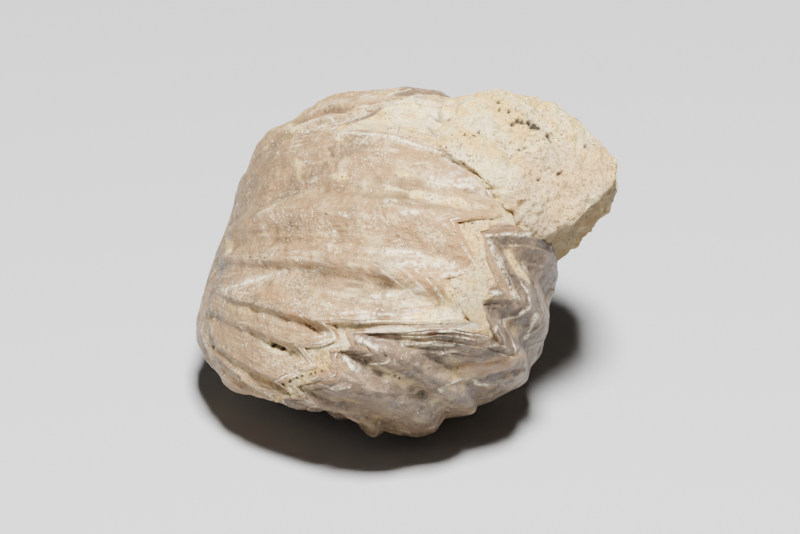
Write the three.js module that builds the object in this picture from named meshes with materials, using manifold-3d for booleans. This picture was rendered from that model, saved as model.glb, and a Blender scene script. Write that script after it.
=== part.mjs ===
// A small fossil lamp shell with sharp ribs, its two halves closed on a zigzag seam,
// and the lump of pale rock that still sticks to one side of it.
// Millimetres, +Z up. The origin is on the ground under the middle of the fossil.
import * as THREE from 'three';
import { ConvexGeometry } from 'three/addons/geometries/ConvexGeometry.js';
import { mergeVertices } from 'three/addons/utils/BufferGeometryUtils.js';
import Module from 'manifold-3d';

// Size of the shell along its own axes.
// X runs across the ribs, Y from the beak to the front edge, Z towards the flatter half.
const SHELL_WIDTH = 30.5;
const SHELL_LENGTH = 34;
const FLAT_HALF_DEPTH = 9;
const DEEP_HALF_DEPTH = 17.5;

// How the shell lies, as turns about X, Y and Z in degrees, and where its middle is.
const SHELL_TURN = [29, -43.5, -108.5];
const SHELL_MIDDLE = [-3.8, 0.5, 15.5];

// The corners of the zigzag seam between the halves.
// Each has its angle round the seam from the front edge and its angle up the shell.
// The first one points to the deep half and they take turns from there.
const SEAM_CORNERS = [
  [129, 1], [124, 6], [118, 4], [112, 11], [106, 10], [100, 17], [94, 15], [88, 22],
  [82, 17], [77, 25], [61, 20], [55, 28], [48, 20], [44, 25],
  [27, -6], [21, 5], [14, -3], [1, 10], [-8, -1],
  [-40, 37], [-46, 28], [-51, 31], [-57, 16],
  [-63, 26], [-69, 15], [-75, 23], [-81, 13], [-88, 20], [-95, 10], [-102, 16], [-109, 6],
  [-116, 10], [-123, 2], [-130, 4],
];

// The zigzag is averaged over this many degrees to each side to find the seam's slow curve,
// and columns of points are about this many degrees apart.
const SEAM_AVERAGE = 14;
const COLUMN_SPACING = 4;

// How far the ribs stand out at the most, and the gap that parts the two halves.
const RIB_HEIGHT_PER_DEGREE = 0.075;
const RIB_HEIGHT_MOST = 0.75;
const SEAM_GAP = 0.3;

// Where the inner faces of both halves fan out from, close behind the beak.
const FAN_MIDDLE = [-3, -14, 1];

// Growth stages from the front edge back to the beak, where a row of points is set.
const GROWTH_STAGES = [1, 0.965, 0.92, 0.86, 0.79, 0.7, 0.6, 0.49, 0.38, 0.27, 0.17, 0.08, 0];

// Places where the shell is fuller (+) or flatter (-) than an egg shape:
// the way each faces in the shell's own axes, and the amount.
const SWELLINGS = [
  [-0.1, -0.62, 0.78, -0.8],
  [-0.56, -0.38, 0.74, 0.6],
  [-0.8, -0.15, 0.6, -0.9],
  [-0.95, 0.27, 0.2, -0.7],
  [0.15, -0.68, 0.72, -1.6],
  [0.42, -0.69, 0.59, 1.5],
  [0.91, -0.42, 0, -1.6],
  [0.95, -0.2, -0.25, -1.0],
  [0.62, 0.32, -0.72, -0.6],
  [0.34, 0.51, -0.79, 0.9],
  [-0.07, 0.66, -0.75, -0.9],
];
const SWELLING_SPREAD = 0.1;

// Corners of the lump of rock: its broken face, its underside, then its far side.
const LUMP_CORNERS = [
  [3.5, -5, 28], [5.5, -6.5, 27.5], [7.5, -7.5, 26], [8.2, -8, 24.2], [10, -6.5, 22],
  [11.5, -6, 20], [13.5, -5.5, 21], [15.5, -4.5, 22], [17, -2.5, 23], [18, -1, 23.5],
  [18, 0, 24.5], [16.8, 1, 25.8], [15.2, 1.5, 26.7], [13.3, 2, 28], [11, 2, 29.2],
  [8.5, 2, 29.9], [6, 1.5, 29.3], [4, 1.5, 28.6],
  [18, 2, 20.5], [17, 1.5, 19], [15.5, 1, 17], [14, 0, 15.5], [13, -1, 15.5],
  [18, 9, 18.5], [16.5, 12.5, 19], [13.5, 14.5, 20.5], [10.5, 14, 22], [7, 11.5, 23.5],
  [4.5, 9, 24.5], [15, 8.5, 14], [12.5, 10, 12], [10.5, 14, 13.5], [7, 13.5, 18.5],
];
const LUMP_SPLITS = 2;
const LUMP_ROUGHNESS = 0.5;

const DEGREE = Math.PI / 180;

// The seam

// The corners with the beak, where the seam starts and ends, before and after them.
const SEAM_LINE = [[180, 0], ...SEAM_CORNERS, [-180, 0]];

// Angles at which a column of points is set: each corner and even steps between corners.
function seamColumns() {
  const columns = [];
  for (let i = 0; i < SEAM_LINE.length - 1; i += 1) {
    const [start] = SEAM_LINE[i];
    const span = start - SEAM_LINE[i + 1][0];
    const steps = Math.max(2, Math.round(span / COLUMN_SPACING));
    for (let j = 0; j < steps; j += 1) columns.push(start - (span * j) / steps);
  }
  columns.push(-180);
  return columns;
}

// The seam corners on either side of an angle, and how far it is from one to the other.
function seamSpan(angle) {
  const index = Math.max(1, SEAM_LINE.findIndex((corner) => corner[0] <= angle));
  const from = SEAM_LINE[index - 1];
  const to = SEAM_LINE[index];
  return { index, from, to, width: from[0] - to[0], share: (from[0] - angle) / (from[0] - to[0]) };
}

function seamHeight(angle) {
  const { from, to, share } = seamSpan(angle);
  return from[1] + (to[1] - from[1]) * share;
}

// The seam without its zigzag: a slow curve through the middles of its flanks.
function seamTrend(angle) {
  let sum = 0;
  let weight = 0;
  for (let step = -SEAM_AVERAGE; step <= SEAM_AVERAGE; step += 2) {
    const share = 1 - Math.abs(step) / (SEAM_AVERAGE + 2);
    sum += share * seamHeight(THREE.MathUtils.clamp(angle + step, -179, 179));
    weight += share;
  }
  return sum / weight;
}

// The ribs

// +1 on the crests of the flat half, -1 in its furrows, and 0 at the beak.
function ribWave(angle) {
  const { index, share } = seamSpan(angle);
  const furrowFirst = index % 2 === 1 ? 1 : -1;
  if (index === 1) return -share;
  if (index === SEAM_LINE.length - 1) return furrowFirst * (1 - share);
  return furrowFirst * Math.cos(Math.PI * share);
}

function ribHeight(angle) {
  return Math.min(RIB_HEIGHT_MOST, RIB_HEIGHT_PER_DEGREE * seamSpan(angle).width);
}

// Ribs start past the smooth beak and die out into the zigzag at the edge.
function ribStrength(stage) {
  return THREE.MathUtils.smoothstep(1 - stage, 0, 0.1) * THREE.MathUtils.smoothstep(stage, 0.05, 0.8);
}

// The body of the shell

// Angle up the shell from the seam (stage 1) to the beak (stage 0). Side +1 is the flat half.
function heightAngle(angle, stage, side) {
  const trend = seamTrend(angle);
  const zigzag = (seamHeight(angle) - trend) * stage ** 6;
  return (side * 90 * (1 - stage) + stage * trend) + zigzag;
}

function swelling(normal) {
  let amount = 0;
  for (const [x, y, z, size] of SWELLINGS) {
    const facing = normal.dot(new THREE.Vector3(x, y, z).normalize());
    amount += size * Math.exp((facing - 1) / SWELLING_SPREAD);
  }
  return amount;
}

// A point on the shell in the shell's own axes.
function shellPoint(angle, stage, side, extra = 0) {
  const round = angle * DEGREE;
  const up = heightAngle(angle, stage, side) * DEGREE;
  const reach = (1 + Math.cos(round)) * Math.cos(up);
  const unit = new THREE.Vector3(
    Math.cos(up) * Math.sin(round),
    reach * Math.cos(up) - 1,
    reach * Math.sin(up),
  );
  const depth = unit.z > 0 ? FLAT_HALF_DEPTH : DEEP_HALF_DEPTH;
  const size = new THREE.Vector3(SHELL_WIDTH / 2, SHELL_LENGTH / 2, depth);
  const normal = unit.clone().divide(size).normalize();
  const relief = side * ribHeight(angle) * ribWave(angle) * ribStrength(stage);
  return unit.multiply(size).addScaledVector(normal, relief + swelling(normal) + extra);
}

// Solids

function solidGeometry(positions, triangles) {
  const geometry = new THREE.BufferGeometry();
  geometry.setAttribute('position', new THREE.Float32BufferAttribute(positions, 3));
  geometry.setIndex(triangles);
  return geometry;
}

// Merges shared points and drops the triangles that close up to nothing.
function tidied(geometry, tolerance = 1e-4) {
  const plain = geometry.clone();
  plain.deleteAttribute('normal');
  plain.deleteAttribute('uv');
  const merged = mergeVertices(plain, tolerance);
  const index = merged.getIndex().array;
  const kept = [];
  for (let i = 0; i < index.length; i += 3) {
    const [a, b, c] = [index[i], index[i + 1], index[i + 2]];
    if (a !== b && b !== c && c !== a) kept.push(a, b, c);
  }
  merged.setIndex(kept);
  return merged;
}

// Triangles over a grid of points, each four-sided patch split along its shorter diagonal.
function addGrid(triangles, positions, columns, rows, flipped) {
  const at = (i) => new THREE.Vector3(...positions.slice(3 * i, 3 * i + 3));
  const add = (a, b, c) => triangles.push(...(flipped ? [a, c, b] : [a, b, c]));
  for (let i = 0; i < columns - 1; i += 1) {
    for (let j = 0; j < rows - 1; j += 1) {
      const a = i * rows + j;
      const b = a + rows;
      if (at(a).distanceTo(at(b + 1)) < at(b).distanceTo(at(a + 1))) {
        add(a, b, b + 1);
        add(a, b + 1, a + 1);
      } else {
        add(a, b, a + 1);
        add(b, b + 1, a + 1);
      }
    }
  }
}

// One half of the shell: its ribbed outside, closed by a face that fans out from the middle.
function halfShell(side) {
  const columns = seamColumns();
  const lift = new THREE.Vector3(0, 0, (side * SEAM_GAP) / 2);
  const positions = [];
  const triangles = [];
  const rows = GROWTH_STAGES.length;
  for (const angle of columns) {
    for (const stage of GROWTH_STAGES) {
      const point = shellPoint(angle, stage, side).addScaledVector(lift, 1);
      positions.push(point.x, point.y, point.z);
    }
  }
  addGrid(triangles, positions, columns.length, rows, side < 0);
  const middle = positions.length / 3;
  positions.push(FAN_MIDDLE[0], FAN_MIDDLE[1], FAN_MIDDLE[2] + lift.z);
  for (let i = 0; i < columns.length - 1; i += 1) {
    const a = i * rows;
    if (side > 0) triangles.push(middle, a + rows, a);
    else triangles.push(middle, a, a + rows);
  }
  return tidied(solidGeometry(positions, triangles));
}

// Both halves as one closed body, a little larger, to cut its hollow in the rock.
function wholeShell(extra) {
  const columns = seamColumns();
  const stages = [...GROWTH_STAGES].reverse().map((stage) => [stage, 1]);
  for (const stage of GROWTH_STAGES.slice(1)) stages.push([stage, -1]);
  const positions = [];
  const triangles = [];
  for (const angle of columns) {
    for (const [stage, side] of stages) {
      const point = shellPoint(angle, stage, side, extra);
      positions.push(point.x, point.y, point.z);
    }
  }
  addGrid(triangles, positions, columns.length, stages.length, true);
  return tidied(solidGeometry(positions, triangles));
}

function laidDown(geometry) {
  const turn = new THREE.Euler(...SHELL_TURN.map((angle) => angle * DEGREE));
  geometry.applyMatrix4(new THREE.Matrix4().makeRotationFromEuler(turn));
  return geometry.translate(...SHELL_MIDDLE);
}

// The rock

// Splits every triangle in four, so that broken faces can be roughened.
function split(geometry) {
  const corners = geometry.getAttribute('position');
  const index = geometry.getIndex().array;
  const positions = [];
  const at = (i) => new THREE.Vector3().fromBufferAttribute(corners, i);
  for (let i = 0; i < index.length; i += 3) {
    const [a, b, c] = [at(index[i]), at(index[i + 1]), at(index[i + 2])];
    const ab = a.clone().add(b).multiplyScalar(0.5);
    const bc = b.clone().add(c).multiplyScalar(0.5);
    const ca = c.clone().add(a).multiplyScalar(0.5);
    for (const point of [a, ab, ca, ab, b, bc, ca, bc, c, ab, bc, ca]) positions.push(...point.toArray());
  }
  return tidied(solidGeometry(positions, positions.filter((_, i) => i % 3 === 0).map((_, i) => i)));
}

// Pushes the points in and out by a smooth, uneven amount that depends only on the place.
function roughened(geometry, height) {
  const corners = geometry.getAttribute('position');
  const normals = geometry.clone();
  normals.computeVertexNormals();
  const facing = normals.getAttribute('normal');
  for (let i = 0; i < corners.count; i += 1) {
    const point = new THREE.Vector3().fromBufferAttribute(corners, i);
    const wave = Math.sin(1.3 * point.x + 0.9 * point.z) + Math.sin(1.7 * point.y - 1.1 * point.x)
      + Math.sin(2.3 * point.z + 1.9 * point.y);
    const outward = new THREE.Vector3().fromBufferAttribute(facing, i);
    point.addScaledVector(outward, (height * wave) / 3);
    corners.setXYZ(i, ...point.toArray());
  }
  return geometry;
}

function matrixLump() {
  const corners = LUMP_CORNERS.map((corner) => new THREE.Vector3(...corner));
  let geometry = tidied(new ConvexGeometry(corners));
  for (let i = 0; i < LUMP_SPLITS; i += 1) geometry = split(geometry);
  return roughened(geometry, LUMP_ROUGHNESS);
}

// Cutting

const wasm = await Module();
wasm.setup();

function toManifold(geometry) {
  const mesh = new wasm.Mesh({
    numProp: 3,
    vertProperties: new Float32Array(geometry.getAttribute('position').array),
    triVerts: new Uint32Array(geometry.getIndex().array),
  });
  return new wasm.Manifold(mesh);
}

function fromManifold(solid) {
  const mesh = solid.getMesh();
  return solidGeometry(Array.from(mesh.vertProperties), Array.from(mesh.triVerts));
}

// Everything below the ground, to cut the worn flat that the fossil rests on.
function belowGround() {
  const block = new THREE.BoxGeometry(60, 60, 20);
  block.translate(0, 0, -10);
  return toManifold(tidied(block));
}

function rested(geometry) {
  return toManifold(geometry).subtract(belowGround());
}

// Scene

function pieceOf(name, solid, color, roughness) {
  const material = new THREE.MeshStandardMaterial({ color, roughness, metalness: 0 });
  const mesh = new THREE.Mesh(fromManifold(solid), material);
  mesh.name = name;
  return mesh;
}

// The lump without the hollow that the shell fills, and without the crumbs that the cut leaves.
const hollow = toManifold(laidDown(wholeShell(SEAM_GAP)));
const crumbs = toManifold(matrixLump()).subtract(hollow).decompose();
const lump = crumbs.reduce((largest, crumb) => (crumb.volume() > largest.volume() ? crumb : largest));

const group = new THREE.Group();
group.add(pieceOf('ventral_valve', rested(laidDown(halfShell(1))), 0xcdb69e, 0.55));
group.add(pieceOf('dorsal_valve', rested(laidDown(halfShell(-1))), 0xb8a593, 0.6));
group.add(pieceOf('matrix_lump', lump, 0xe3d6b4, 0.95));

// The origin comes under the middle of the whole fossil.
const middle = new THREE.Box3().setFromObject(group, true).getCenter(new THREE.Vector3());
group.position.set(-middle.x, -middle.y, 0);

export default group;
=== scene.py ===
# %% [markdown]
# # A fossil lamp shell, lying on its side
#
# The real thing is a brachiopod, a sea animal with two unequal shells hinged at a beak.
# The halves meet at the front on a zigzag line, and every tooth of the zigzag is the end
# of a rib. Stone fills it now, and a lump of that pale stone still sticks to one flank.
#
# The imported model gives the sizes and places. Here each of its three solids is made again
# as a fine surface from the same growing rule, then coloured and worn. All lengths in the
# shell's own formulas are in millimetres, and points are turned to metres at the end.

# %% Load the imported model
import math

import bmesh
import bpy
import numpy as np
from mathutils import Matrix, Vector


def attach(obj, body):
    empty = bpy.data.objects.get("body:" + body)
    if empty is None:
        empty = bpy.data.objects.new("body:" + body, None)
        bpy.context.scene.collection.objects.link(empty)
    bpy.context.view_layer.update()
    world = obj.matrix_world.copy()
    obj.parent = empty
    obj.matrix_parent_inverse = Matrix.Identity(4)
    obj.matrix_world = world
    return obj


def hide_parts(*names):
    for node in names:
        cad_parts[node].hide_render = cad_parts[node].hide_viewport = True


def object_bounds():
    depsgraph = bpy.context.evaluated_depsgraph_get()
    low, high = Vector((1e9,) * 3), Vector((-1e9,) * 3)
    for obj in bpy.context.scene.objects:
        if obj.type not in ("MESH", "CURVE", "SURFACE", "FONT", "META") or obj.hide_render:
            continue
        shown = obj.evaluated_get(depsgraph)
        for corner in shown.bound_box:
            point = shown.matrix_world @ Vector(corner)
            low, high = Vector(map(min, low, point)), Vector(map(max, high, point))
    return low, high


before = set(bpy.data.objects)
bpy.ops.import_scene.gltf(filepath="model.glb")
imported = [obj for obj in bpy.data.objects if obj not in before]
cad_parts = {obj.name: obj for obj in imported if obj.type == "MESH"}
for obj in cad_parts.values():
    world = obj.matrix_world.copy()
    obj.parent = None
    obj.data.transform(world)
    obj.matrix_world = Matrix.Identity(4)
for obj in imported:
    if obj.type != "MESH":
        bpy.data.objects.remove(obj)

MM = 0.001
cad_box = [[float(v) for v in corner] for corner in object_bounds()]
print("CAD box in mm:", [[round(v / MM, 2) for v in corner] for corner in cad_box])

# %% [markdown]
# ## The camera
#
# The photograph is taken with a long lens a little above the table, so lines hardly
# converge. A camera could be set by eye, but the fossil's outline is only right from one
# height, so its tilt is a named value. It also gives a rule from a point of the object to
# a point of the photograph, which places the marks that sit at one spot of the shell.

# %% Set the camera
VIEW_TILT = math.radians(28)
VIEW_DISTANCE = 420.0
FOSSIL_WIDTH = 36
FOSSIL_PIXELS = 429
PIXELS_PER_MM = FOSSIL_PIXELS / FOSSIL_WIDTH
PHOTO_SIZE = (800, 534)
PHOTO_MIDDLE = np.array([-0.293, -0.743, 14.5])
SENSOR_WIDTH = 36
FARTHEST_SEEN = 10

view_right = np.array([1, 0, 0])
view_up = np.array([0, math.sin(VIEW_TILT), math.cos(VIEW_TILT)])
view_back = np.array([0, -math.cos(VIEW_TILT), math.sin(VIEW_TILT)])

camera_data = bpy.data.cameras.new("camera")
camera_data.sensor_width = SENSOR_WIDTH
camera_data.lens = PIXELS_PER_MM * VIEW_DISTANCE * SENSOR_WIDTH / PHOTO_SIZE[0]
camera_data.clip_end = FARTHEST_SEEN
camera = bpy.data.objects.new("camera", camera_data)
camera.location = Vector((PHOTO_MIDDLE + view_back * VIEW_DISTANCE) * MM)
camera.rotation_euler = (math.pi / 2 - VIEW_TILT, 0, 0)
bpy.context.collection.objects.link(camera)
bpy.context.scene.camera = camera


def in_photo(points):
    """Where points in mm fall in the photograph, in its pixels."""
    from_middle = points - PHOTO_MIDDLE
    zoom = PIXELS_PER_MM / (1 - from_middle @ view_back / VIEW_DISTANCE)
    across = PHOTO_SIZE[0] / 2 + (from_middle @ view_right) * zoom
    down = PHOTO_SIZE[1] / 2 - (from_middle @ view_up) * zoom
    return np.stack([across, down], axis=-1)


print("lens in mm:", round(camera_data.lens, 1))

# %% [markdown]
# ## Unevenness
#
# Nothing on a fossil is quite even. Blender has noise textures for colour, but a visible
# shape has to come from the mesh, so the script needs a noise of its own for points. This
# one puts a fixed random number at each corner of a grid of cubes and blends between them,
# which gives the same bumps on each run.

# %% Smooth noise for points
WHOLE_RANGE = 0xFFFFFFFF
PLACE_FACTORS = (73856093, 19349663, 83492791)
SEED_FACTOR = 2654435761
SCRAMBLES = ((15, 2246822519), (13, 3266489917), (16, 1))


def cube_corner_value(corner, seed):
    """A number from -1 to 1 that depends only on a whole-numbered place."""
    x, y, z = (corner[:, axis] * factor for axis, factor in enumerate(PLACE_FACTORS))
    mixed = ((x ^ y ^ z) + seed * SEED_FACTOR) & WHOLE_RANGE
    for shift, factor in SCRAMBLES:
        mixed = ((mixed ^ (mixed >> shift)) * factor) & WHOLE_RANGE
    return mixed / (WHOLE_RANGE / 2) - 1


def uneven(points, size, seed):
    """Smooth noise from -1 to 1 with lumps of about this size."""
    shape = points.shape[:-1]
    place = points.reshape(-1, 3) / size
    cell = np.floor(place).astype(np.int64)
    part = place - cell
    part = part * part * (3 - 2 * part)
    total = np.zeros(len(place))
    for dx in (0, 1):
        for dy in (0, 1):
            for dz in (0, 1):
                share = part[:, 0] if dx else 1 - part[:, 0]
                share = share * (part[:, 1] if dy else 1 - part[:, 1])
                share = share * (part[:, 2] if dz else 1 - part[:, 2])
                total += share * cube_corner_value(cell + np.array([dx, dy, dz]), seed)
    return total.reshape(shape)


def layered(points, lumps):
    """Unevenness in several sizes, each an amount, a size and a seed."""
    return sum(amount * uneven(points, size, seed) for amount, size, seed in lumps)


def rise(value, low, high):
    """0 below low, 1 above high and a smooth step between them."""
    share = np.clip((value - low) / (high - low), 0, 1)
    return share * share * (3 - 2 * share)


# %% [markdown]
# ## The growing rule of the shell
#
# A lamp shell grows at its edge. Each rib is the track of one tooth of that edge, so ribs
# fan out from the beak, and old edges stay as fine lines. Instead of sculpting ribs one by
# one, the surface is a grid: an angle round the edge, and a growth stage from the beak (0)
# to the edge (1). The corners of the zigzag are listed once, and the ribs follow from them.

# %% Sizes of the shell
SHELL_WIDTH = 30.5
SHELL_LENGTH = 34.0
FLAT_HALF_DEPTH = 9.0
DEEP_HALF_DEPTH = 17.5
SHELL_TURN = (29.0, -43.5, -108.5)
SHELL_MIDDLE = np.array([-4.093, -0.243, 15.5])

SEAM_CORNERS = [
    (129, 1), (124, 6), (118, 4), (112, 11), (106, 10), (100, 17), (94, 15), (88, 22),
    (82, 17), (77, 25), (61, 20), (55, 28), (48, 20), (44, 25),
    (27, -6), (21, 5), (14, -3), (1, 10), (-8, -1),
    (-40, 37), (-46, 28), (-51, 31), (-57, 16),
    (-63, 26), (-69, 15), (-75, 23), (-81, 13), (-88, 20), (-95, 10), (-102, 16), (-109, 6),
    (-116, 10), (-123, 2), (-130, 4),
]
SEAM_LINE = np.array([(180, 0), *SEAM_CORNERS, (-180, 0)], dtype=float)
SEAM_AVERAGE = 14

RIB_HEIGHT_PER_DEGREE = 0.075
RIB_HEIGHT_MOST = 0.75

SWELLINGS = np.array([
    (-0.1, -0.62, 0.78, -0.8),
    (-0.56, -0.38, 0.74, 0.6),
    (-0.8, -0.15, 0.6, -0.9),
    (-0.95, 0.27, 0.2, -0.7),
    (0.15, -0.68, 0.72, -1.6),
    (0.42, -0.69, 0.59, 1.5),
    (0.91, -0.42, 0, -1.6),
    (0.95, -0.2, -0.25, -1.0),
    (0.62, 0.32, -0.72, -0.6),
    (0.34, 0.51, -0.79, 0.9),
    (-0.07, 0.66, -0.75, -0.9),
])
SWELLING_SPREAD = 0.1

turn = Matrix.Rotation(math.radians(SHELL_TURN[0]), 3, "X")
turn = turn @ Matrix.Rotation(math.radians(SHELL_TURN[1]), 3, "Y")
turn = np.array(turn @ Matrix.Rotation(math.radians(SHELL_TURN[2]), 3, "Z"))
print("corners on the seam:", len(SEAM_CORNERS))


# %% The seam and the ribs
def line_height(line, angle):
    """How far up the shell a line round it is, in degrees, at an angle."""
    return np.interp(-angle, -line[:, 0], line[:, 1])


def seam_trend(angle):
    """The seam without its zigzag."""
    steps = np.arange(-SEAM_AVERAGE, SEAM_AVERAGE + 1, 2)
    weights = 1 - np.abs(steps) / (SEAM_AVERAGE + 2)
    around = np.clip(angle[..., None] + steps, -179, 179)
    return (line_height(SEAM_LINE, around) * weights).sum(-1) / weights.sum()


def rib_wave(angle):
    """+1 on the crests of the flat half, -1 in its furrows, 0 at the beak."""
    numbers = np.arange(len(SEAM_LINE))
    signs = np.where(numbers % 2 == 1, -1.0, 1.0)
    signs[0] = signs[-1] = 0
    place = np.interp(-angle, -SEAM_LINE[:, 0], numbers)
    before = np.clip(np.floor(place).astype(int), 0, len(numbers) - 2)
    blend = (1 - np.cos(np.pi * (place - before))) / 2
    return signs[before] * (1 - blend) + signs[before + 1] * blend


def rib_height(angle):
    """How far the ribs stand out, from how far apart the seam's corners are."""
    spans = -np.diff(SEAM_LINE[:, 0])
    corner_spans = np.concatenate([[spans[0]], (spans[:-1] + spans[1:]) / 2, [spans[-1]]])
    heights = np.minimum(RIB_HEIGHT_MOST, RIB_HEIGHT_PER_DEGREE * corner_spans)
    return np.interp(-angle, -SEAM_LINE[:, 0], heights)


# %% From an angle and a height to a point
def body_point(angle, up):
    """A point on the smooth body, in the shell's own axes, with the way it faces."""
    round_it = np.radians(angle)
    up = np.radians(up)
    reach = (1 + np.cos(round_it)) * np.cos(up)
    unit = np.stack([
        np.cos(up) * np.sin(round_it),
        reach * np.cos(up) - 1,
        reach * np.sin(up),
    ], axis=-1)
    size = np.empty_like(unit)
    size[..., 0] = SHELL_WIDTH / 2
    size[..., 1] = SHELL_LENGTH / 2
    size[..., 2] = np.where(unit[..., 2] > 0, FLAT_HALF_DEPTH, DEEP_HALF_DEPTH)
    facing = unit / size
    facing /= np.linalg.norm(facing, axis=-1, keepdims=True)
    return unit * size, facing


def swelling(facing):
    """How far the shell is fuller or flatter than an egg where it faces this way."""
    ways = SWELLINGS[:, :3] / np.linalg.norm(SWELLINGS[:, :3], axis=1, keepdims=True)
    return (SWELLINGS[:, 3] * np.exp((facing @ ways.T - 1) / SWELLING_SPREAD)).sum(-1)


def laid_down(points):
    """Turns the shell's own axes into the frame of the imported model."""
    return points @ turn.T + SHELL_MIDDLE


def plain_point(angle, up):
    """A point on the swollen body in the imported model's frame, with the way it faces."""
    points, facing = body_point(angle, up)
    points = points + facing * swelling(facing)[..., None]
    return laid_down(points), facing @ turn.T


# %% [markdown]
# ## Fitting the outline
#
# Where the outline in the photograph bulges or dips by less than a millimetre, the body is
# made a little fuller or flatter round that spot. A lattice could do it, but a short list
# of spots, each with a reach and an amount in millimetres, says what is done and where.

# %% Fuller and flatter spots
OUTLINE_SPOTS = [
    ((244, 165), 2.4, -0.15), ((233, 193), 3.5, -0.25), ((225, 224), 3.5, -0.4), ((213, 252), 3.5, -0.45),
    ((203, 286), 2.0, 0.0), ((208, 363), 1.8, -0.4), ((233, 392), 1.6, 0.4), ((262, 138), 1.6, 0.3),
    ((288, 121), 1.8, -0.3), ((340, 91), 2.0, 0.45), ((371, 92), 2.0, 0.2), ((399, 88), 2.0, 0.25),
    ((430, 91), 1.8, 0.35), ((339, 420), 1.6, -1.4), ((368, 433), 1.8, 0.55), ((399, 435), 2.2, 0.95),
    ((431, 429), 1.6, 0.2), ((486, 402), 1.6, 0.35), ((536, 363), 1.5, 0.7), ((546, 338), 1.4, -0.9),
    ((550, 308), 1.3, 0.45),
]


NEVER = 1000.0
HIDDEN = -0.05
SEARCH_END = (176, 88)
SEARCHES = ((170, 86, 2.0), (3, 3, 0.25))


def point_under(spot):
    """The point of the body that is seen at a spot of the photograph."""
    angle, up = 0.0, 0.0
    for reach_around, reach_up, step in SEARCHES:
        around = angle + np.arange(-reach_around, reach_around + step, step)
        above = up + np.arange(-reach_up, reach_up + step, step)
        angles, ups = np.meshgrid(
            np.clip(around, -SEARCH_END[0], SEARCH_END[0]), np.clip(above, -SEARCH_END[1], SEARCH_END[1]))
        points, facing = plain_point(angles, ups)
        miss = np.linalg.norm(in_photo(points) - spot, axis=-1)
        miss = miss + np.where(facing @ view_back < HIDDEN, NEVER, 0)
        best = np.unravel_index(np.argmin(miss), miss.shape)
        angle, up = angles[best], ups[best]
    return points[best], facing[best]


outline_centres = [point_under(spot)[0] for spot, reach, amount in OUTLINE_SPOTS]


def swollen_point(angle, up):
    """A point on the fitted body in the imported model's frame, with the way it faces."""
    points, facing = plain_point(angle, up)
    more = np.zeros(points.shape[:-1])
    for centre, (spot, reach, amount) in zip(outline_centres, OUTLINE_SPOTS):
        more += amount * np.exp(-((points - centre) ** 2).sum(-1) / reach ** 2)
    return points + facing * more[..., None], facing


# %% [markdown]
# ## Two lips and the gape between them
#
# The halves don't close tightly. At the big teeth of the front the gap is up to three
# millimetres wide and full of cream stone. One seam line can't give that, so each half has
# its own lip. Where the photograph shows a corner of a lip, the lip is brought to that
# spot, along the body's surface. Beside the lump both lips run in a curve from one corner
# to the next, so three more spots guide each. On the hidden side they stay near the seam.

# %% Corners of the lips in the photograph
FIRST_SEEN_CORNER = 8
FLAT_LIP_SEEN = [
    (296, 398), (280, 383), (318, 367), (306, 348), (340, 341), (334, 325),
    (478, 326), (444, 279), (478, 271), (457, 223), (507, 218), (331, 131),
]
DEEP_LIP_SEEN = [
    (303, 398), (291, 384), (332, 371), (329, 350), (352, 345), (346, 331),
    (489, 335), (475, 300), (499, 285), (474, 229), (532, 231), (333, 127),
]
FLAT_LIP_CURVE = [(462, 158), (475, 169), (489, 185)]
DEEP_LIP_CURVE = [(469, 154), (482, 165), (497, 182)]
HIDDEN_GAPE = 0.8
CORNER_SEARCH = (2.5, 20, 0.25)
CURVE_ANGLES = np.arange(-36, -9, 0.25)
CURVE_HEIGHTS = np.arange(-15, 45, 0.25)


def nearest_to(spot, angles, heights):
    """Of a grid of places on the body, the one that the photograph shows closest to a spot."""
    angle, up = np.meshgrid(angles, heights)
    points, facing = swollen_point(angle, up)
    miss = np.linalg.norm(in_photo(points) - spot, axis=-1)
    miss = miss + np.where(facing @ view_back < 0, NEVER, 0)
    best = np.argmin(miss)
    return angle.ravel()[best], up.ravel()[best]


def lip_line(corners_seen, curve_seen, side):
    """The lip of one half as angles and heights, from its corners in the photograph."""
    line = SEAM_LINE.copy()
    line[1:-1, 1] += side * HIDDEN_GAPE
    reach_around, reach_up, step = CORNER_SEARCH
    for number, spot in enumerate(corners_seen):
        row = 1 + FIRST_SEEN_CORNER + number
        around = line[row, 0] + np.arange(-reach_around, reach_around + step / 2, step)
        above = SEAM_LINE[row, 1] + np.arange(-reach_up, reach_up + step / 2, step)
        line[row] = nearest_to(spot, around, above)
    for spot in curve_seen:
        line = np.append(line, [nearest_to(spot, CURVE_ANGLES, CURVE_HEIGHTS)], axis=0)
    return line[np.argsort(-line[:, 0])]


flat_lip = lip_line(FLAT_LIP_SEEN, FLAT_LIP_CURVE, 1)
deep_lip = lip_line(DEEP_LIP_SEEN, DEEP_LIP_CURVE, -1)
print("widest gape in degrees:", (flat_lip[:, 1] - deep_lip[:, 1]).max())

# %% [markdown]
# ## A grid for each half
#
# Each half is one sheet of points. The columns stand close together where the photograph
# looks, and the rows crowd towards the edge, where the growth lines are finest. A fan of
# faces closes the sheet inside, so that each half is a real solid with its own lip.

# %% Grid of one half
COLUMNS = 480
ROWS = 200
FAN_MIDDLE = np.array([-3.0, -14.0, 1.0])
LIP_RAGGED = 0.7
CLOSE_MIDDLE = 20
CLOSE_REACH = 75
CLOSE_BEHIND = 0.35
ANGLE_SAMPLES = 3601


def column_angles():
    """Angles with small steps on the photographed side and larger ones behind."""
    angle = np.linspace(180, -180, ANGLE_SAMPLES)
    closeness = CLOSE_BEHIND + np.exp(-((angle - CLOSE_MIDDLE) / CLOSE_REACH) ** 4)
    run = np.concatenate([[0], np.cumsum((closeness[1:] + closeness[:-1]) / 2)])
    return np.interp(np.linspace(0, run[-1], COLUMNS), run, angle)


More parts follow.
